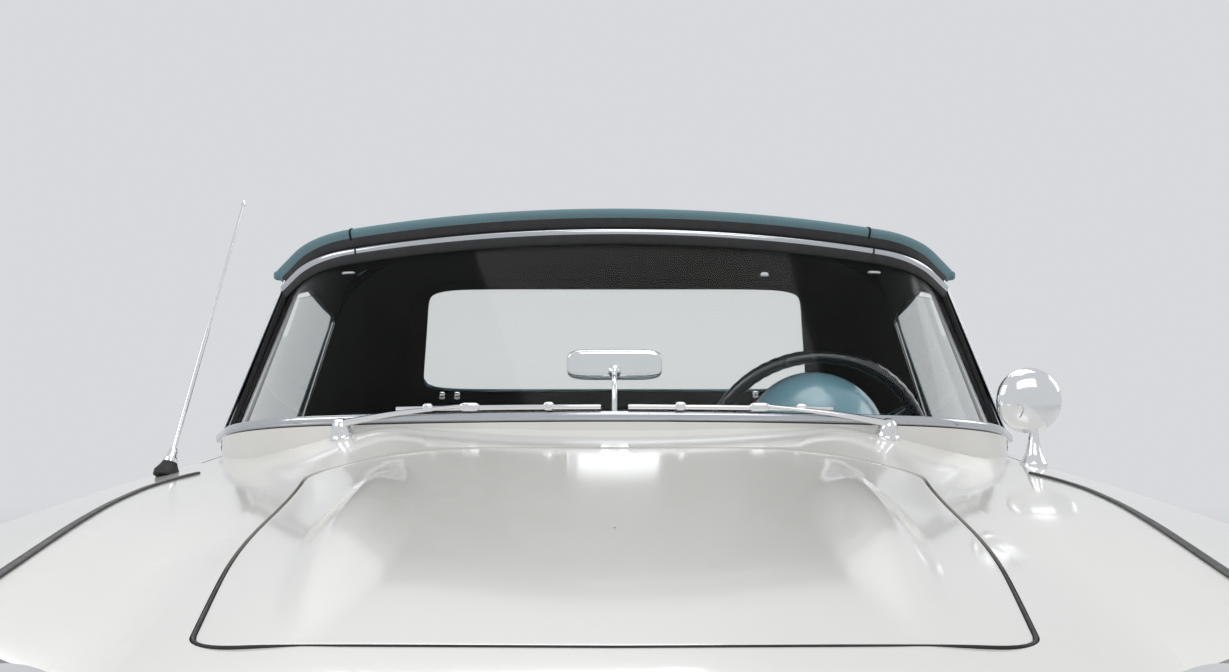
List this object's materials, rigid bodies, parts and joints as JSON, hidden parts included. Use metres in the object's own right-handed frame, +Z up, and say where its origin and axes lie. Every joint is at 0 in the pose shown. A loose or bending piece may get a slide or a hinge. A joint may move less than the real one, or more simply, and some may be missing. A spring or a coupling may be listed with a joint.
{
  "type": "classic sports car",
  "caption": "Two-seat open sports car of the late nineteen fifties with its fabric roof up, opening bonnet, boot lid and doors, steering front wheels.",
  "frame": {"origin": "on the ground under the middle of the car's box", "axes": "+Z up, front faces -Y, the driver's side is +X"},
  "size_m": [1.8478, 4.5012, 1.311],
  "materials": {
    "paint": "gloss",
    "under": "matte",
    "clear_glass": "gloss",
    "bright": "polished",
    "cloth": "matte",
    "trim": "satin",
    "dark": "gloss",
    "lamp": "gloss",
    "red_lamp": "gloss",
    "steel": "satin",
    "iron": "matte",
    "wheel": "polished",
    "tyre": "matte"
  },
  "bodies": {
    "car_body": {"nose_panel": "paint", "fender_front_left": "paint", "fender_front_right": "paint", "cowl_panel": "paint", "quarter_left": "paint", "quarter_right": "paint", "rear_deck": "paint", "tail_panel": "paint", "rockers": "paint", "underbody": "under", "front_wheelhouses": "under", "windshield_glass": "clear_glass", "rear_window": "clear_glass", "windshield_frame": "bright", "grille": "bright", "front_bumper": "bright", "rear_bumper": "bright", "outside_mirror": "bright", "inside_mirror": "bright", "antenna": "bright", "wipers": "bright", "fender_mouldings": "bright", "soft_top": "cloth", "dash": "trim", "seat_left": "trim", "seat_right": "trim", "steering_column": "dark", "headlamps": "lamp", "parking_lamps": "lamp", "tail_lamps": "red_lamp", "ladder_frame": "steel", "front_suspension": "steel", "rear_axle": "steel", "exhaust": "steel", "engine_block": "iron"},
    "hood_body": {"hood": "paint"},
    "trunk_lid_body": {"trunk_lid": "paint"},
    "door_left_body": {"door_left": "paint", "door_glass_left": "clear_glass", "door_moulding_left": "bright"},
    "door_right_body": {"door_right": "paint", "door_glass_right": "clear_glass", "door_moulding_right": "bright"},
    "steer_left_body": {"knuckle_left": "steel"},
    "steer_right_body": {"knuckle_right": "steel"},
    "track_rod_body": {"track_rod": "steel"},
    "steering_wheel_body": {"steering_wheel": "dark"},
    "wheel_front_left_body": {"wheel_front_left": "wheel", "tyre_front_left": "tyre"},
    "wheel_front_right_body": {"wheel_front_right": "wheel", "tyre_front_right": "tyre"},
    "wheel_rear_left_body": {"wheel_rear_left": "wheel", "tyre_rear_left": "tyre"},
    "wheel_rear_right_body": {"wheel_rear_right": "wheel", "tyre_rear_right": "tyre"}
  },
  "joints": [
    {"name": "hood_hinge", "type": "hinge", "parent": "car_body", "child": "hood_body", "pos_m": [0, -1.96, 0.76], "axis": [1, 0, 0], "range_deg": [0, 50]},
    {"name": "trunk_lid_hinge", "type": "hinge", "parent": "car_body", "child": "trunk_lid_body", "pos_m": [0, 1.082, 0.848], "axis": [1, 0, 0], "range_deg": [0, 55]},
    {"name": "door_left_hinge", "type": "hinge", "parent": "car_body", "child": "door_left_body", "pos_m": [0.906, -0.594, 0.6], "axis": [0, 0, -1], "range_deg": [0, 60]},
    {"name": "door_right_hinge", "type": "hinge", "parent": "car_body", "child": "door_right_body", "pos_m": [-0.906, -0.594, 0.6], "axis": [0, 0, 1], "range_deg": [0, 60]},
    {"name": "steer_left", "type": "hinge", "parent": "car_body", "child": "steer_left_body", "pos_m": [0.64, -1.41, 0.345], "axis": [0, 0, 1], "range_deg": [-30, 30]},
    {"name": "steer_right", "type": "hinge", "parent": "car_body", "child": "steer_right_body", "pos_m": [-0.64, -1.41, 0.345], "axis": [0, 0, 1], "range_deg": [-30, 30]},
    {"name": "track_rod_end", "type": "hinge", "parent": "steer_left_body", "child": "track_rod_body", "pos_m": [0.6, -1.26, 0.271], "axis": [0, 0, 1], "range_deg": [-30, 30]},
    {"name": "steering_wheel_turn", "type": "hinge", "parent": "car_body", "child": "steering_wheel_body", "pos_m": [0.38, -0.205, 0.854], "axis": [0, 0.9205, 0.3907], "range_deg": [-500, 500]},
    {"name": "wheel_front_left_spin", "type": "hinge", "parent": "steer_left_body", "child": "wheel_front_left_body", "pos_m": [0.724, -1.41, 0.345], "axis": [1, 0, 0], "continuous": true},
    {"name": "wheel_front_right_spin", "type": "hinge", "parent": "steer_right_body", "child": "wheel_front_right_body", "pos_m": [-0.724, -1.41, 0.345], "axis": [1, 0, 0], "continuous": true},
    {"name": "wheel_rear_left_spin", "type": "hinge", "parent": "car_body", "child": "wheel_rear_left_body", "pos_m": [0.749, 1.181, 0.345], "axis": [1, 0, 0], "continuous": true},
    {"name": "wheel_rear_right_spin", "type": "hinge", "parent": "car_body", "child": "wheel_rear_right_body", "pos_m": [-0.749, 1.181, 0.345], "axis": [1, 0, 0], "continuous": true}
  ],
  "couplings": [
    {"joint": "steer_right", "follows": "steer_left", "ratio": 1},
    {"joint": "track_rod_end", "follows": "steer_left", "ratio": -1},
    {"joint": "steering_wheel_turn", "follows": "steer_left", "ratio": -16}
  ]
}
